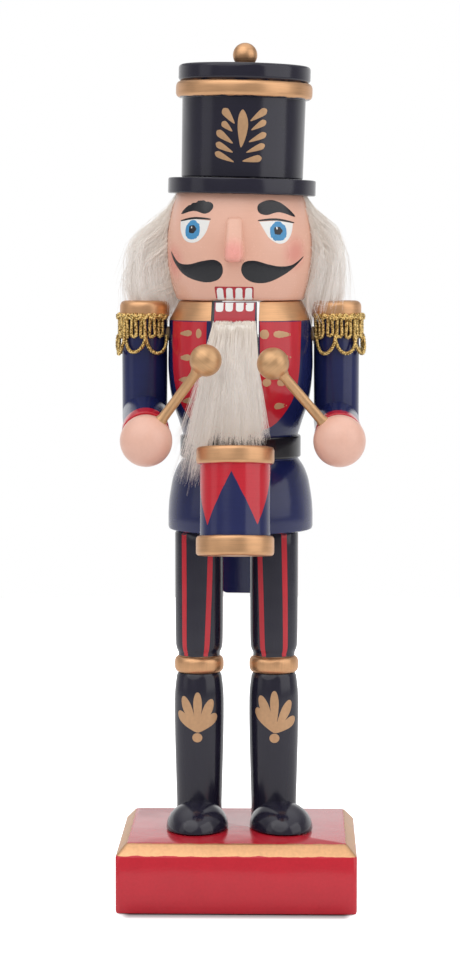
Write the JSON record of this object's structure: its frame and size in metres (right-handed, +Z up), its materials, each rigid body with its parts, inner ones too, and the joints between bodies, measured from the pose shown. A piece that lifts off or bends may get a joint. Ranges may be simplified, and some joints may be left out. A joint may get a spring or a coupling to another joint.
{
  "type": "nutcracker figure",
  "caption": "Turned wooden toy-soldier drummer on a square block, with a lever-worked jaw, fur hair and beard, drum and drumsticks.",
  "frame": {"origin": "middle of the underside of the square base block", "axes": "+Z up; the figure faces -Y, so +X is the viewer's right"},
  "size_m": [0.0866, 0.091, 0.3],
  "materials": {
    "red_lacquer": "high gloss",
    "black_lacquer": "high gloss",
    "navy_lacquer": "high gloss",
    "gold_paint": "satin metallic",
    "face_paint": "gloss",
    "hand_paint": "gloss",
    "drum_paint": "high gloss",
    "coat_paint": "high gloss",
    "hat_paint": "high gloss",
    "leg_paint": "high gloss",
    "white_fur": "long soft pile",
    "gold_braid": "metallic thread",
    "bare_wood": "plain",
    "pin_steel": "drawn wire"
  },
  "bodies": {
    "figure": {"base_block": "red_lacquer", "left_shoe": "black_lacquer", "right_shoe": "black_lacquer", "left_leg": "leg_paint", "right_leg": "leg_paint", "left_ankle_dowel": "bare_wood", "right_ankle_dowel": "bare_wood", "left_hip_dowel": "bare_wood", "right_hip_dowel": "bare_wood", "torso": "coat_paint", "jaw_pin": "pin_steel", "head": "face_paint", "nose": "face_paint", "left_neck_dowel": "bare_wood", "right_neck_dowel": "bare_wood", "hair": "white_fur", "hat_brim": "hat_paint", "hat_crown": "hat_paint", "hat_dowel": "bare_wood", "hat_finial": "gold_paint", "left_upper_arm": "navy_lacquer", "right_upper_arm": "navy_lacquer", "left_forearm": "navy_lacquer", "right_forearm": "navy_lacquer", "left_elbow_dowel": "bare_wood", "right_elbow_dowel": "bare_wood", "left_shoulder_dowel": "bare_wood", "right_shoulder_dowel": "bare_wood", "left_hand": "hand_paint", "right_hand": "hand_paint", "left_wrist_dowel": "bare_wood", "right_wrist_dowel": "bare_wood", "left_drumstick": "gold_paint", "right_drumstick": "gold_paint", "left_stick_head": "gold_paint", "right_stick_head": "gold_paint", "left_braid": "gold_braid", "right_braid": "gold_braid", "drum": "drum_paint", "drum_dowel": "bare_wood"},
    "jaw": {"jaw_lever": "navy_lacquer", "beard": "white_fur"}
  },
  "joints": [
    {"name": "jaw_hinge", "type": "hinge", "parent": "figure", "child": "jaw", "pos_m": [0.00086, 0.01429, 0.188], "axis": [0.9979, -0.0645, 0], "range_deg": [0, 20], "deforming": ["beard"]}
  ]
}
